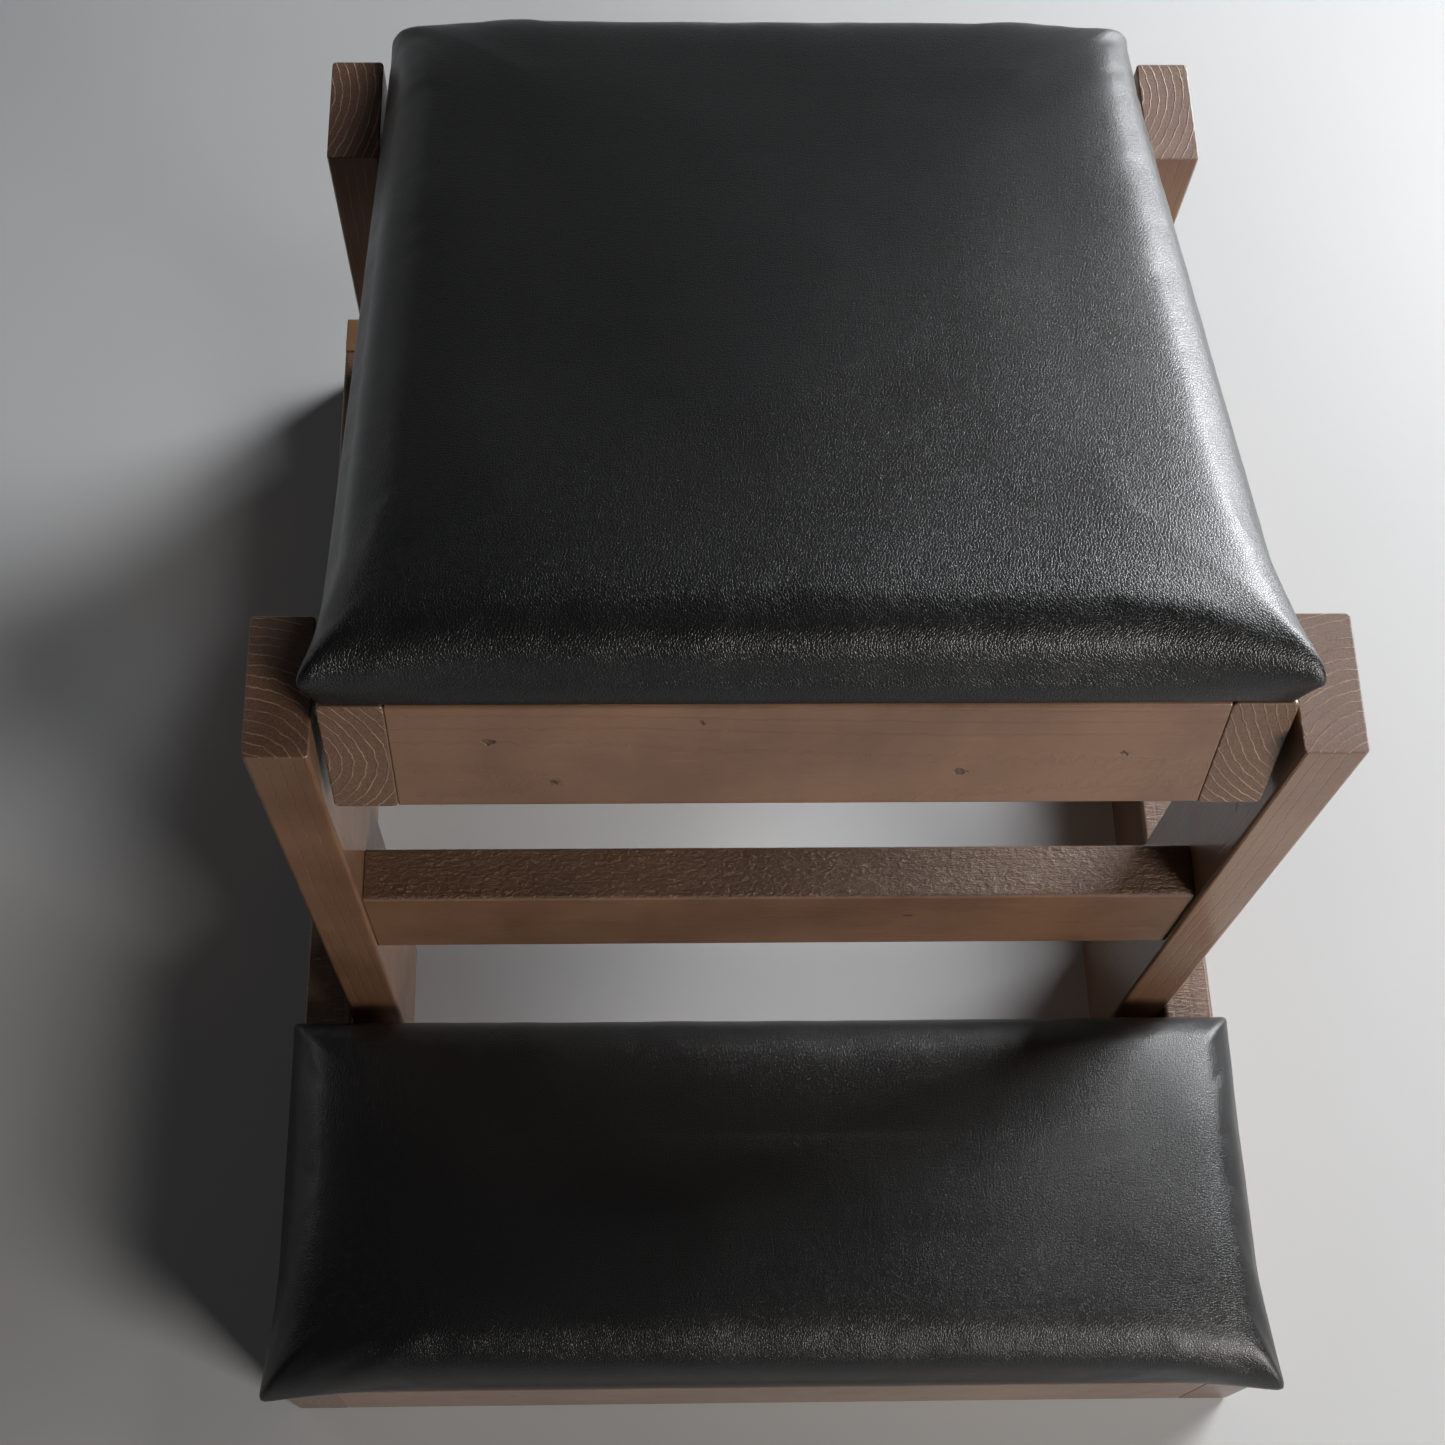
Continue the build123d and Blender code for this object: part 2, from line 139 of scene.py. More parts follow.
class Graph:
    """A material's node tree, with short calls that add nodes and join them."""

    def __init__(self, name):
        self.material = bpy.data.materials.new(name)
        self.material.use_nodes = True
        self.tree = self.material.node_tree
        self.shader = self.tree.nodes["Principled BSDF"]
        self.place = self.add("ShaderNodeTexCoord").outputs["Object"]

    def add(self, kind, inputs=None, **settings):
        """A new node. Inputs are sockets to join or plain values, by name or by index."""
        node = self.tree.nodes.new(kind)
        for key, value in settings.items():
            setattr(node, key, value)
        for key, value in (inputs or {}).items():
            if isinstance(value, bpy.types.NodeSocket):
                self.tree.links.new(value, node.inputs[key])
            else:
                node.inputs[key].default_value = value
        return node

    def math(self, operation, *values):
        """The result of one sum on sockets or numbers."""
        inputs = dict(enumerate(values))
        return self.add("ShaderNodeMath", inputs, operation=operation).outputs[0]

    def noise(self, place, scale, detail=2.0, roughness=0.5):
        """Noise from 0 to 1, with the scale in patches per unit of place."""
        inputs = {"Vector": place, "Scale": scale, "Detail": detail, "Roughness": roughness}
        return self.add("ShaderNodeTexNoise", inputs).outputs["Fac"]

    def stretched(self, place, scale):
        """The place with each axis scaled by itself, for noise that runs in streaks."""
        return self.add("ShaderNodeMapping", {"Vector": place, "Scale": scale}).outputs[0]

    def step(self, value, low, high, to_low=0.0, to_high=1.0):
        """Smooth change from to_low to to_high as value passes from low to high."""
        inputs = {0: value, 1: low, 2: high, 3: to_low, 4: to_high}
        node = self.add("ShaderNodeMapRange", inputs, interpolation_type="SMOOTHSTEP")
        return node.outputs[0]

    def mix(self, amount, first, second):
        """The first colour at amount 0, the second at amount 1."""
        node = self.add("ShaderNodeMix", {0: amount, 6: first, 7: second}, data_type="RGBA")
        return node.outputs[2]

    def bump(self, height, distance):
        """A surface direction for a height of 1 that stands out by the distance in metres."""
        inputs = {"Height": height, "Distance": distance, "Strength": 1.0}
        return self.add("ShaderNodeBump", inputs).outputs[0]

    def finish(self, colour, roughness, normal=None, **fixed):
        """Joins the results to the shader and sets its fixed values. Returns the material."""
        for name, value in (("Base Color", colour), ("Roughness", roughness), ("Normal", normal)):
            if value is not None:
                self.tree.links.new(value, self.shader.inputs[name])
        for name, value in fixed.items():
            self.shader.inputs[name.replace("_", " ")].default_value = value
        return self.material


def rgb(red, green, blue):
    """A colour for a node, from the 0 to 255 values that a screen shows."""
    linear = [((c / 255 + 0.055) / 1.055) ** 2.4 if c > 10 else c / 255 / 12.92
              for c in (red, green, blue)]
    return (*linear, 1.0)


# ---------------------------------------------------------------- painted timber

ACROSS = Vector((1, 0, 0))
BACK = Vector((0, 1, 0))
UP = Vector((0, 0, 1))
DOWN_SLOPE = Vector((0, math.cos(SEAT_SLOPE), -math.sin(SEAT_SLOPE)))
OFF_SLOPE = Vector((0, math.sin(SEAT_SLOPE), math.cos(SEAT_SLOPE)))

PAINT_DARK = rgb(99, 71, 52)
PAINT_LIGHT = rgb(121, 90, 68)
RING_PAINT = rgb(168, 136, 110)
END_PAINT = rgb(118, 88, 68)
END_SHADE = rgb(84, 60, 46)
# Dark paint for knots, also used as painted shade on the narrow faces of rough timbers.
KNOT_AND_SHADE_PAINT = rgb(34, 20, 14)
# A pale colour for painted glints on the scored faces.
PAINTED_GLINT = rgb(188, 162, 142)
# Metres from one growth ring to the next.
RING_PITCH = 0.0062
# How fine a rough face's marks are along, across and through the timber.
SAW_MARKS = (420, 60, 60)
PEBBLED_PAINT = (190, 330, 330)
# Along, across and radius in mm, from the rail's middle.
CROSS_RAIL_KNOTS = ((-182, 14, 6), (-146, -22, 5), (-60, 30, 4), (92, -14, 6), (186, 2, 5))


def timber_axes(g, node, length, width):
    """The place and the surface direction seen along a timber: length, width and thickness."""
    low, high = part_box(node)
    middle = (low + high) / 2
    axes = Matrix((length, width, length.cross(width)))
    turn = axes.to_euler()
    place = g.add("ShaderNodeMapping", {
        "Vector": g.place, "Rotation": turn, "Location": -(axes @ middle)}).outputs[0]
    normal = g.add("ShaderNodeNewGeometry").outputs["Normal"]
    facing = g.add("ShaderNodeMapping", {"Vector": normal, "Rotation": turn}, vector_type="VECTOR")
    return place, facing.outputs[0]


def growth_rings(g, place, pith):
    """How far a point is through its growth ring, 0 to 1, round a pith beside the timber."""
    wander = g.noise(g.stretched(place, (1.5, 9, 9)), 1.0, detail=2.0)
    parts = g.add("ShaderNodeSeparateXYZ", {0: place}).outputs
    dy = g.math("SUBTRACT", parts[1], pith[0])
    dz = g.math("SUBTRACT", parts[2], pith[1])
    radius = g.math("SQRT", g.math("ADD", g.math("MULTIPLY", dy, dy), g.math("MULTIPLY", dz, dz)))
    taper = g.math("MULTIPLY", parts[0], 0.012)
    radius = g.math("ADD", g.math("ADD", radius, taper), g.math("MULTIPLY", wander, 0.02))
    ripple = g.math("MULTIPLY", g.noise(place, 110.0, detail=4.0, roughness=0.6), 0.0042)
    return g.math("FRACT", g.math("DIVIDE", g.math("ADD", radius, ripple), RING_PITCH))


def knot_mask(g, place, knots):
    """1 inside the knots, each (along, across, radius) in mm from the timber's middle."""
    mask = 0.0
    wobble = g.math("MULTIPLY", g.noise(place, 330.0, detail=3.0), 0.008)
    for along, across, radius in knots:
        offset = g.add("ShaderNodeMapping", {
            "Vector": place, "Location": (-along * MM * 0.7, -across * MM, 0), "Scale": (0.7, 1, 0)})
        length = g.add("ShaderNodeVectorMath", {0: offset.outputs[0]}, operation="LENGTH")
        away = g.math("ADD", length.outputs["Value"], wobble)
        near = g.step(away, (radius * 0.5 + 2) * MM, (radius * 0.5 + 4) * MM, 1.0, 0.0)
        mask = g.math("MAXIMUM", mask, near)
    return mask


def face_colour(g, place, late, tone_with_painted_light):
    """Opaque brown paint with slow blotches, worn streaks and a hint of the rings below."""
    blotch = g.noise(place, 9.0, detail=4.0, roughness=0.6)
    worn = g.noise(g.stretched(place, (14, 150, 150)), 1.0, detail=5.0, roughness=0.65)
    # The tone moves the blotches towards the light or the dark paint; on the posts it is painted
    # light at the right and painted shade at the left.
    colour = g.mix(g.step(blotch, 0.3 - tone_with_painted_light, 0.75 - tone_with_painted_light), PAINT_DARK, PAINT_LIGHT)
    colour = g.mix(g.step(worn, 0.58, 0.8, 0.0, 0.16), colour, RING_PAINT)
    return g.mix(g.math("MULTIPLY", late, 0.05), colour, KNOT_AND_SHADE_PAINT)


def end_colour(g, place, late, fibre):
    """Soaked-in paint on end grain, with patchy pale ring lines."""
    patch = g.step(g.noise(place, 42.0, detail=4.0, roughness=0.65), 0.36, 0.66)
    colour = g.mix(g.step(fibre, 0.35, 0.75), END_SHADE, END_PAINT)
    line = g.math("MULTIPLY", late, g.math("ADD", g.math("MULTIPLY", patch, 0.7), 0.18))
    return g.mix(line, colour, RING_PAINT)


def paint_relief(g, place, late, fibre, end):
    """Raised grain and brushed paint on the faces, open pores and ridges on the ends."""
    grain = g.noise(g.stretched(place, (25, 420, 420)), 1.0, detail=4.0, roughness=0.6)
    peel = g.noise(place, 170.0, detail=2.0)
    height = g.math("ADD", g.math("MULTIPLY", grain, 0.5), g.math("MULTIPLY", peel, 0.5))
    height = g.math("ADD", height, g.math("MULTIPLY", late, -0.35))
    pores = g.math("ADD", g.math("MULTIPLY", fibre, 1.1), g.math("MULTIPLY", late, 0.9))
    return g.add("ShaderNodeMix", {0: end, 2: height, 3: pores}).outputs[0]


def roughened_with_painted_light(g, place, across, rough, marks, colour, height):
    """The colour and height with the narrow faces scored, darkened with painted shade and flecked
    with painted glints.
    """
    sawn_and_painted_light = g.step(g.math("ABSOLUTE", across), 0.6, 0.8, 0.0, rough)
    scored = g.noise(g.stretched(place, marks), 1.0, detail=4.0, roughness=0.7)
    height = g.math("ADD", height, g.math("MULTIPLY", g.math("MULTIPLY", scored, sawn_and_painted_light), 6))
    # Painted shade: the narrow faces, here the tops and undersides of the rails and stretcher, are
    # darkened.
    colour = g.mix(g.math("MULTIPLY", sawn_and_painted_light, 0.4), colour, KNOT_AND_SHADE_PAINT)
    # Painted highlight: pale glints on the raised scoring.
    painted_glint = g.math("MULTIPLY", g.step(scored, 0.6, 0.72, 0.0, 0.45), sawn_and_painted_light)
    return g.mix(painted_glint, colour, PAINTED_GLINT), height


def knotted(g, place, knots, end, colour, height):
    """The colour and height with dark sunk knots on the faces."""
    mask = g.math("MULTIPLY", knot_mask(g, place, knots), g.math("SUBTRACT", 1.0, end))
    colour = g.mix(g.math("MULTIPLY", mask, 0.6), colour, KNOT_AND_SHADE_PAINT)
    return colour, g.math("SUBTRACT", height, g.math("MULTIPLY", mask, 2.5))


def paint(node, length, width, pith, knots=(), rough=0.0, tone_with_painted_light=0.0, marks=SAW_MARKS):
    """Gives a timber brown semi-gloss paint over planed softwood, its own grain under it.

    Length and width are its directions. The pith is where the rings centre, in metres from its
    middle. Rough is how strongly its narrow faces are marked, darkened as painted shade and flecked
    with painted glints. Tone is how light its paint is; on the posts it is painted light at the
    right and painted shade at the left.
    """
    g = Graph("timber_" + node)
    place, facing = timber_axes(g, node, length, width)
    ring = growth_rings(g, place, pith)
    late = g.math("MULTIPLY", g.step(ring, 0.80, 0.90), g.step(ring, 0.94, 1.0, 1.0, 0.0))
    facings = g.add("ShaderNodeSeparateXYZ", {0: facing}).outputs
    end = g.step(g.math("ABSOLUTE", facings[0]), 0.6, 0.8)
    fibre = g.noise(place, 900.0, detail=3.0, roughness=0.7)
    colour = g.mix(end, face_colour(g, place, late, tone_with_painted_light), end_colour(g, place, late, fibre))
    height = paint_relief(g, place, late, fibre, end)
    if rough:
        colour, height = roughened_with_painted_light(g, place, facings[1], rough, marks, colour, height)
    if knots:
        colour, height = knotted(g, place, knots, end, colour, height)
    gloss = g.noise(place, 35.0, detail=3.0)
    roughness = g.math("ADD", g.math("MULTIPLY", gloss, 0.2), 0.26)
    roughness = g.math("ADD", roughness, g.math("MULTIPLY", end, 0.12))
    material = g.finish(colour, roughness, g.bump(height, 0.00035), Coat_Weight=0.35,
                        Coat_Roughness=0.13, Specular_IOR_Level=0.5)
    frame["nodes"][node].material_slots[0].material = material


def paint_timbers():
    """Each timber has its own grain: the pith's place beside it, its knots and its surface."""
    # The right posts get a lighter tone and the left posts a darker one: painted light and painted
    # shade.
    paint("front_left_post", UP, BACK, (-0.06, 0.02), ((-110, 18, 5),), tone_with_painted_light=-0.05)
    paint("front_right_post", UP, BACK, (-0.075, -0.03), ((150, -22, 7), (-30, 12, 5)), tone_with_painted_light=0.1)
    paint("rear_left_post", UP, BACK, (0.01, 0.14), tone_with_painted_light=-0.1)
    paint("rear_right_post", UP, BACK, (0.02, 0.11), tone_with_painted_light=0.08)
    paint("left_floor_rail", BACK, UP, (0.0, -0.035), rough=0.8)
    paint("right_floor_rail", BACK, UP, (-0.09, 0.06), rough=0.8)
    paint("rear_floor_rail", ACROSS, UP, (0.03, 0.08))
    paint("kneeler_front_rail", ACROSS, UP, (0.09, 0.03), ((-190, 12, 6), (120, -20, 5)), rough=0.6)
    paint("kneeler_rear_rail", ACROSS, UP, (-0.05, 0.07))
    paint("front_stretcher", ACROSS, UP, (0.02, 0.1), ((90, 10, 6),), 1.0, marks=PEBBLED_PAINT)
    for node in ("front_seat_rail", "rear_seat_rail"):
        paint(node, ACROSS, OFF_SLOPE, (-0.03, 0.12), CROSS_RAIL_KNOTS, tone_with_painted_light=0.05)
    paint("left_seat_rail", DOWN_SLOPE, OFF_SLOPE, (0.0, -0.05), ((60, 10, 5),))
    paint("right_seat_rail", DOWN_SLOPE, OFF_SLOPE, (0.07, 0.09), ((60, 10, 5),))


# ---------------------------------------------------------------- other materials

VINYL_PEBBLES_PER_METRE = 620.0
PLIES_PER_METRE = 420.0


def black_vinyl():
    """Black upholstery vinyl: pebbled leather grain with painted shade in its creases, satin sheen,
    a little uneven.
    """
    g = Graph("black_vinyl")
    drift = g.add("ShaderNodeTexNoise", {"Vector": g.place, "Scale": 260.0}).outputs["Color"]
    place = g.add("ShaderNodeVectorMath", {0: drift, 1: (0.0012, 0.0012, 0.0012), 2: g.place},
                  operation="MULTIPLY_ADD").outputs[0]
    pebbles = {"Vector": place, "Scale": VINYL_PEBBLES_PER_METRE}
    cells = g.add("ShaderNodeTexVoronoi", pebbles, feature="F1").outputs["Distance"]
    edges = g.add("ShaderNodeTexVoronoi", pebbles, feature="DISTANCE_TO_EDGE")
    creases = edges.outputs["Distance"]
    fine = g.noise(g.place, 2600.0, detail=2.0)
    soft = g.noise(g.place, 16.0, detail=3.0)
    height = g.math("SUBTRACT", g.step(creases, 0.0, 0.22), g.math("MULTIPLY", cells, 0.8))
    height = g.math("ADD", height, g.math("MULTIPLY", fine, 0.25))
    roughness = g.math("ADD", g.math("MULTIPLY", soft, 0.06), 0.29)
    roughness = g.math("ADD", roughness, g.step(creases, 0.0, 0.1, 0.1, 0.0))
    # Painted shade: the creases between the pebbles are darker.
    colour = g.mix(g.step(creases, 0.0, 0.12), rgb(2, 2, 2), rgb(7, 7, 8))
    return g.finish(colour, roughness, g.bump(height, 0.00008), Specular_IOR_Level=0.62)


def plywood():
    """Bare plywood: long grain on the faces and darker plies in its edges."""
    g = Graph("plywood")
    grain = g.noise(g.stretched(g.place, (18, 240, 240)), 1.0, detail=5.0, roughness=0.6)
    figure = g.noise(g.stretched(g.place, (2, 12, 12)), 1.0, detail=3.0)
    face = g.mix(g.step(grain, 0.3, 0.7), rgb(176, 140, 98), rgb(210, 178, 132))
    face = g.mix(g.step(figure, 0.45, 0.7, 0.0, 0.4), face, rgb(158, 118, 78))
    normal = g.add("ShaderNodeNewGeometry").outputs["Normal"]
    up = g.add("ShaderNodeVectorMath", {0: normal, 1: UP}, operation="DOT_PRODUCT").outputs["Value"]
    edge = g.step(g.math("ABSOLUTE", up), 0.4, 0.6, 1.0, 0.0)
    level = g.add("ShaderNodeVectorMath", {0: g.place, 1: UP}, operation="DOT_PRODUCT")
    ply = g.math("FRACT", g.math("MULTIPLY", level.outputs["Value"], PLIES_PER_METRE))
    plies = g.mix(g.step(ply, 0.4, 0.6), rgb(120, 86, 56), rgb(190, 152, 108))
    colour = g.mix(edge, face, plies)
    roughness = g.math("ADD", g.math("MULTIPLY", grain, 0.2), 0.55)
    return g.finish(colour, roughness, g.bump(grain, 0.0003))


def plated_steel(name, light, dark, roughness):
    """Bright plated steel with fine rolling lines and dull patches."""
    g = Graph(name)
    lines = g.noise(g.stretched(g.place, (300, 300, 3000)), 1.0, detail=3.0)
    patches = g.noise(g.place, 90.0, detail=4.0, roughness=0.65)
    colour = g.mix(g.step(patches, 0.35, 0.7), light, dark)
    rough = g.math("ADD", g.math("MULTIPLY", patches, 0.25), roughness - 0.1)
    return g.finish(colour, rough, g.bump(lines, 0.00005), Metallic=1.0)


def foam():
    """Open-cell upholstery foam."""
    g = Graph("foam")
    cells = g.add("ShaderNodeTexVoronoi", {"Vector": g.place, "Scale": 900.0}).outputs["Distance"]
    colour = g.mix(g.step(cells, 0.1, 0.5), rgb(206, 192, 150), rgb(232, 220, 182))
    roughness = g.math("ADD", g.math("MULTIPLY", cells, 0.1), 0.85)
    return g.finish(colour, roughness, g.bump(cells, 0.0006))


def dress_plain_nodes():
    """Gives every CAD node that isn't a timber its slot's material. Returns the vinyl."""
    finishes = {
        "black_vinyl": black_vinyl(),
        "plywood": plywood(),
        "foam": foam(),
        "zinc_steel": plated_steel("zinc_steel", rgb(206, 206, 202), rgb(168, 170, 172), 0.34),
        "staple_steel": plated_steel("staple_steel", rgb(214, 214, 212), rgb(182, 182, 182), 0.3),
    }
    for row in frame["record"]["subparts"]:
        if row["material_slot"] in finishes:
            for slot in frame["nodes"][row["node"]].material_slots:
                slot.material = finishes[row["material_slot"]]
    return finishes["black_vinyl"]


# ---------------------------------------------------------------- cushions


def smooth_samples(points, count):
    """Count points along a smooth line through the given ones."""
    spans = len(points) - 1
    line = []
    for i in range(count):
        at = spans * i / (count - 1)
        k = min(int(at), spans - 1)
        t = at - k
        a, b = points[max(k - 1, 0)], points[k]
        c, d = points[k + 1], points[min(k + 2, spans)]
        line.append(tuple(
            0.5 * (2 * q + (r - p) * t + (2 * p - 5 * q + 4 * r - s) * t * t
                   + (3 * q - p - 3 * r + s) * t ** 3)
            for p, q, r, s in zip(a, b, c, d)
        ))
    return line


def rim(nx, ny):
    """Places once round a square from -1 to 1, with nx steps along x and ny along y."""
    front = [(2 * i / nx - 1, -1) for i in range(nx)]
    right = [(1, 2 * j / ny - 1) for j in range(ny)]
    return front + right + [(-u, -v) for u, v in front] + [(-u, -v) for u, v in right]


def rim_index(i, j, nx, ny):
    """The number on the rim of grid point (i, j), or None inside the grid."""
    if j == 0:
        return i
    if i == nx:
        return nx + j
    if j == ny:
        return 2 * nx + ny - i
    if i == 0:
        return (2 * nx + 2 * ny - j) % (2 * (nx + ny))
    return None


def corner_weight(u, v, hx, hy):
    """1 at a corner of the cushion's rim, falling to 0 at the corner's reach along either side."""
    away = (1 - abs(v)) * hy if abs(u) >= abs(v) else (1 - abs(u)) * hx
    near = max(0.0, 1 - away / CORNER_REACH)
    return near * near * (1.6 - 0.6 * near)


class Form:
    """A cushion's closed surface in mm: x across, y along from the front edge, z up."""

    def __init__(self, half_width, length, corner, waist, crown, seed):
        self.hx = half_width
        self.hy = length / 2
        self.front_corner = corner
        self.waist = waist
        self.crown = crown
        self.seed = seed
        self.nx = round(2 * half_width / CELL)
        self.ny = round(length / CELL)
        self.rim = rim(self.nx, self.ny)
        self.vertices = []
        self.faces = []
        self.held = 0

    def swelling(self, x, y):
        """The slow unevenness of a hand-stuffed top."""
        place = Vector((x / 120, y / 120, self.seed))
        return noise.noise(place) * 0.9 + noise.noise(place * 2.3) * 0.25

    def ring(self, side, corners=None):
        """Adds one ring of points at an inset and height, blended towards the corners' own."""
        start = len(self.vertices)
        for u, v in self.rim:
            inset, height = side
            x = u * (self.hx - inset)
            y = v * (self.hy - inset)
            if corners:
                weight = corner_weight(u, v, self.hx, self.hy)
                corner = corners[1] if v > 0 else corners[0]
                inset += (corner[0] - inset) * weight
                height += (corner[1] - height) * weight
                above = min(1.0, max(0.0, (height - BOARD_TOP) / 18))
                sides = self.waist[0] * abs(u) ** 3 * (1 - weight)
                rear = self.waist[1] * max(0.0, v) ** 3
                x = u * (self.hx - inset - sides * above)
                y = v * (self.hy - inset - rear * above)
                lift = min(1.0, max(0.0, (height - 20) / 35))
                height += lift * self.swelling(x, y)
                pull = min(1.0, height / 20) * (1 - weight)
                tug = noise.noise(Vector((x / 38, y / 38, self.seed + height / 60))) * 0.45 * pull
                x += tug * u ** 9
                y += tug * v ** 9
            self.vertices.append((x, y, height))
        return start

    def bridge(self, first, second):
        """Quads between two rings."""
        count = len(self.rim)
        for k in range(count):
            after = (k + 1) % count
            self.faces.append((first + k, first + after, second + after, second + k))

    def panel(self, ring, inset, height, crowned):
        """The panel inside a ring: the crowned top, or the flat lining over the board."""
        grid = {}
        for i in range(self.nx + 1):
            for j in range(self.ny + 1):
                k = rim_index(i, j, self.nx, self.ny)
                if k is not None:
                    grid[i, j] = ring + k
                    continue
                u = 2 * i / self.nx - 1
                v = 2 * j / self.ny - 1
                x = u * (self.hx - inset)
                y = v * (self.hy - inset)
                rise = 0.0
                if crowned:
                    x -= self.waist[0] * u ** 3
                    y -= self.waist[1] * max(0.0, v) ** 4
                    rise = self.crown * (1 - u * u) * (1 - v * v) + self.swelling(x, y)
                grid[i, j] = len(self.vertices)
                self.vertices.append((x, y, height + rise))
        for i in range(self.nx):
            for j in range(self.ny):
                quad = (grid[i, j], grid[i + 1, j], grid[i + 1, j + 1], grid[i, j + 1])
                self.faces.append(quad if crowned else quad[::-1])

    def build(self):
        """Lining over the board, turned-under margin, folded edge and crowned top."""
        half_cover = COVER_THICKNESS / 2
        inner = COVER_MARGIN - half_cover
        edge = COVER_THICKNESS - LINING_GAP
        lining_top = BOARD_TOP + LINING_GAP
        lining = [(LINING_INSET, lining_top), (edge, lining_top)]
        lining += [(edge, LINING_MIDDLE), (edge, edge), (inner * 0.5, edge), (inner, edge)]
        margin = [(COVER_MARGIN, half_cover), (inner, 0)]
        margin += [(inset, 0) for inset in MARGIN_INSETS]
        rings = [self.ring(place) for place in lining + margin]
        self.panel(rings[0], *lining[0], crowned=False)
        self.held = len(self.vertices)
        side = smooth_samples(SIDE_PROFILE, EDGE_SAMPLES)
        front = smooth_samples(self.front_corner, EDGE_SAMPLES)
        rear = smooth_samples(REAR_CORNER, EDGE_SAMPLES)
        rings += [self.ring(place, corners) for place, *corners in zip(side, front, rear)]
        for pair in zip(rings, rings[1:]):
            self.bridge(*pair)
        self.panel(rings[-1], *side[-1], crowned=True)


def cushion_object(name, form, origin, turn):
    """The form as a mesh in the row frame. Origin is the middle of its lower front edge."""
    mesh = bpy.data.meshes.new(name)
    places = [origin + turn @ Vector((x, y + form.hy, z)) * MM for x, y, z in form.vertices]
    mesh.from_pydata(places, [], form.faces)
    mesh.validate()
    cushion = bpy.data.objects.new(name, mesh)
    bpy.context.scene.collection.objects.link(cushion)
    return cushion


def swell(cushion, form):
    """Blows the cover up a little as cloth, held where it wraps the board."""
    held = cushion.vertex_groups.new(name="held")
    low = [k for k, place in enumerate(form.vertices)
           if k < form.held or place[2] < BOARD_TOP + HOLD_ABOVE_BOARD]
    held.add(low, 1.0, "REPLACE")
    cloth = cushion.modifiers.new("cloth", "CLOTH")
    settings = cloth.settings
    settings.vertex_group_mass = held.name
    settings.quality = 3
    settings.mass = 0.4
    settings.tension_stiffness = 18
    settings.compression_stiffness = 18
    settings.shear_stiffness = 6
    settings.bending_stiffness = 0.8
    settings.use_pressure = True
    settings.uniform_pressure_force = PRESSURE
    settings.shrink_min = -0.006
    settings.effector_weights.gravity = 0
    cloth.collision_settings.use_self_collision = False
    for number in range(1, LAST_FRAME + 1):
        bpy.context.scene.frame_set(number)
    solved = cushion.evaluated_get(bpy.context.evaluated_depsgraph_get())
    ends = [vertex.co.copy() for vertex in solved.data.vertices]
    cushion.modifiers.remove(cloth)
    bpy.context.scene.frame_set(1)
    cap = SWELL_CAP * MM
    for vertex, end in zip(cushion.data.vertices, ends):
        shift = end - vertex.co
        vertex.co += shift * (cap / (cap + shift.length))


def fold_creases(cushion, form, origin, turn):
    """Short folds that fan out from each pinched corner over the top and the sides."""
    for vertex in cushion.data.vertices[form.held + len(form.rim):]:
        place = turn.transposed() @ (vertex.co - origin) / MM
        x = form.hx - abs(place.x)
        y = form.hy - abs(place.y - form.hy)
        away = math.hypot(x, y)
        if away > CREASE_REACH or place.z < CREASE_FLOOR:
            continue
        angle = math.atan2(y + CREASE_CENTRE, x + CREASE_CENTRE)
        seed = form.seed + (3 if place.x > 0 else 0) + (7 if place.y > form.hy else 0)
        phase = noise.noise(Vector((angle * 2.2, seed, away / 90))) * 5
        fade = min(1.0, away / CREASE_START) * (1 - away / CREASE_REACH) ** 1.5
        depth = math.sin(angle * CREASE_RATE + phase) * CREASE_DEPTH * fade
        vertex.co += vertex.normal * depth * MM


def make_cushion(name, form, origin, length_axis, up_axis, vinyl):
    """Builds, swells, creases and smooths one cushion, gives it the vinyl and hangs it from the root
    body.
    """
    form.build()
    turn = Matrix((ACROSS, length_axis, up_axis)).transposed()
    cushion = cushion_object(name, form, origin, turn)
    swell(cushion, form)
    fold_creases(cushion, form, origin, turn)
    cushion.data.shade_smooth()
    smooth = cushion.modifiers.new("smooth", "SUBSURF")
    smooth.levels = 1
    smooth.render_levels = 1
    cushion.data.materials.append(vinyl)
    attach(cushion, "root")
    return cushion


def seat_cushion(vinyl):
    """The seat's cushion, on the slope."""
    low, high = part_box("seat_cover")
    origin = Vector((0, low.y, low.z + SEAT_LENGTH * math.sin(SEAT_SLOPE)))
    form = Form(high.x / MM, SEAT_LENGTH / MM, SEAT_CORNER, SEAT_WAIST, 4.0, 1.3)
    cushion = make_cushion("seat_cushion", form, origin, DOWN_SLOPE, OFF_SLOPE, vinyl)
    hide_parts("seat_cover", "seat_foam")


def kneeler_cushion(vinyl):
    """The kneeler's cushion, level over the floor rails."""
    low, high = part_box("kneeler_cover")
    origin = Vector((0, low.y, low.z))
    length = (high.y - low.y) / MM
    form = Form(high.x / MM, length, KNEELER_CORNER, KNEELER_WAIST, 3.0, 8.1)
    cushion = make_cushion("kneeler_cushion", form, origin, BACK, UP, vinyl)
    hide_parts("kneeler_cover", "kneeler_foam")


# ---------------------------------------------------------------- studio


def floor():
    """A pale seamless floor, not part of the chair."""
    mesh = bpy.data.meshes.new("floor")
    signs = ((-1, -1), (1, -1), (1, 1), (-1, 1))
    corners = [(x * FLOOR_HALF, y * FLOOR_HALF, 0) for x, y in signs]
    mesh.from_pydata(corners, [], [(0, 1, 2, 3)])
    sheet = bpy.data.objects.new("floor", mesh)
    bpy.context.scene.collection.objects.link(sheet)
    g = Graph("floor")
    cloud = g.noise(g.place, 1.2, detail=3.0)
    colour = g.mix(g.step(cloud, 0.3, 0.7), rgb(164, 164, 165), rgb(171, 171, 172))
    roughness = g.math("ADD", g.math("MULTIPLY", cloud, 0.1), 0.6)
    mesh.materials.append(g.finish(colour, roughness))


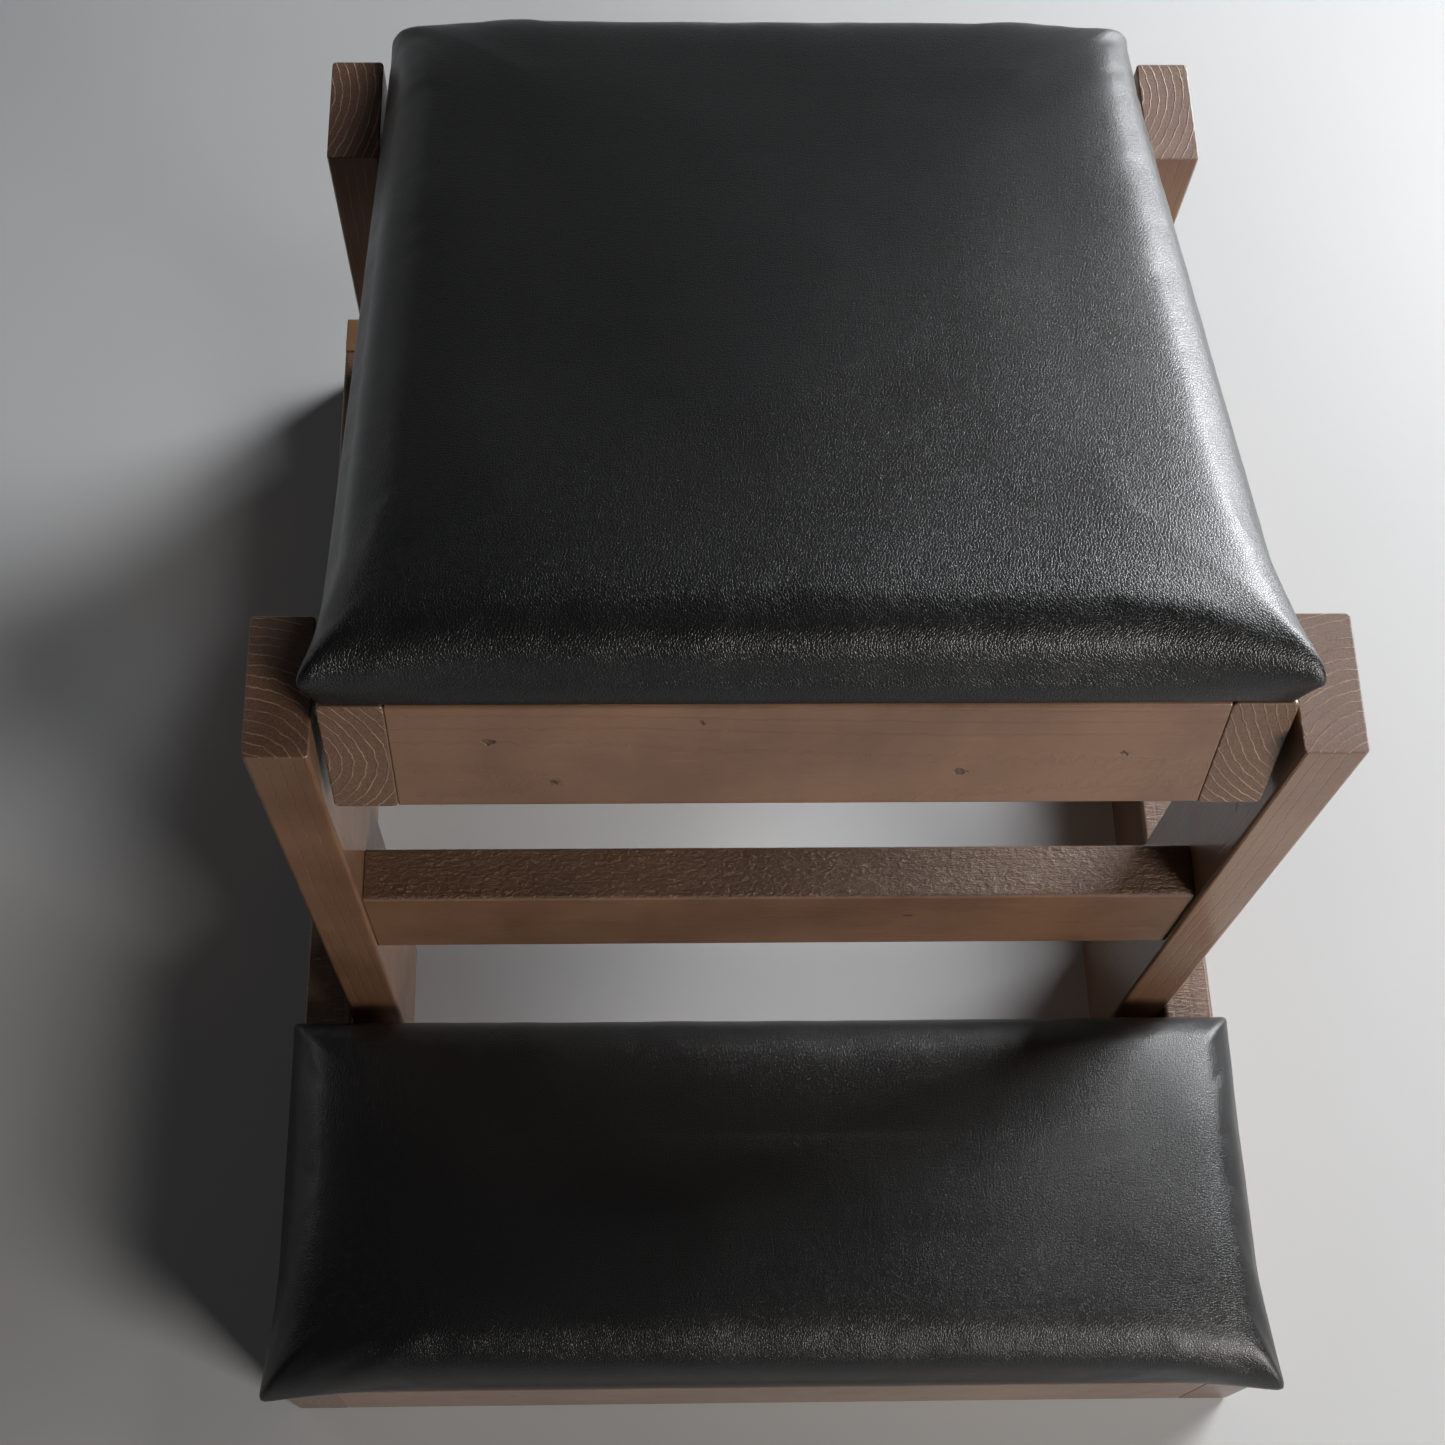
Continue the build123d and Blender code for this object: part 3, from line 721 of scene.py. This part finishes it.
def softbox(name, place, size, power, colour):
    """A square area light that faces the lights' target."""
    data = bpy.data.lights.new(name, "AREA")
    data.size = size
    data.energy = power
    data.color = colour
    lamp = bpy.data.objects.new(name, data)
    lamp.location = place
    lamp.rotation_euler = (LIGHT_TARGET - place).to_track_quat("-Z", "Y").to_euler()
    bpy.context.scene.collection.objects.link(lamp)


def lights():
    """Two softboxes right and behind, a warmer one right and in front, a weak one at the left."""
    for name, (azimuth, elevation, size, power, colour) in LIGHTS.items():
        turn = Euler((0, -math.radians(elevation), math.radians(azimuth)))
        place = turn.to_matrix() @ Vector((LIGHT_DISTANCE, 0, 0))
        softbox(name, place, size, power, colour)


def surroundings():
    """A pale wall all round that darkens to the ceiling."""
    world = bpy.data.worlds.new("studio")
    world.use_nodes = True
    tree = world.node_tree
    direction = tree.nodes.new("ShaderNodeTexCoord").outputs["Generated"]
    height = tree.nodes.new("ShaderNodeSeparateXYZ")
    tree.links.new(direction, height.inputs[0])
    glow = tree.nodes.new("ShaderNodeMapRange")
    glow.interpolation_type = "SMOOTHSTEP"
    tree.links.new(height.outputs["Z"], glow.inputs["Value"])
    limits = ("From Min", "From Max", "To Min", "To Max")
    for name, value in zip(limits, (*WALL_TOP, WALL, CEILING)):
        glow.inputs[name].default_value = value
    tree.links.new(glow.outputs[0], tree.nodes["Background"].inputs["Strength"])
    tree.nodes["Background"].inputs["Color"].default_value = WALL_COLOUR
    bpy.context.scene.world = world
    bpy.context.scene.view_settings.view_transform = "Standard"


def camera():
    """The viewpoint: in front of the kneeler and above it, looking steeply down."""
    data = bpy.data.cameras.new("camera")
    data.lens = CAMERA_LENS
    data.sensor_width = SENSOR_WIDTH
    data.shift_x, data.shift_y = CAMERA_SHIFT
    eye = bpy.data.objects.new("camera", data)
    turn = Matrix.Rotation(-CAMERA_YAW, 4, "Z") @ Matrix.Rotation(CAMERA_TILT, 4, "X")
    turn = turn @ Matrix.Rotation(CAMERA_ROLL, 4, "Z")
    eye.matrix_world = Matrix.Translation(CAMERA_PLACE) @ turn
    bpy.context.scene.collection.objects.link(eye)
    bpy.context.scene.camera = eye


camera()
lights()
surroundings()
floor()
paint_timbers()
black = dress_plain_nodes()
seat_cushion(black)
kneeler_cushion(black)
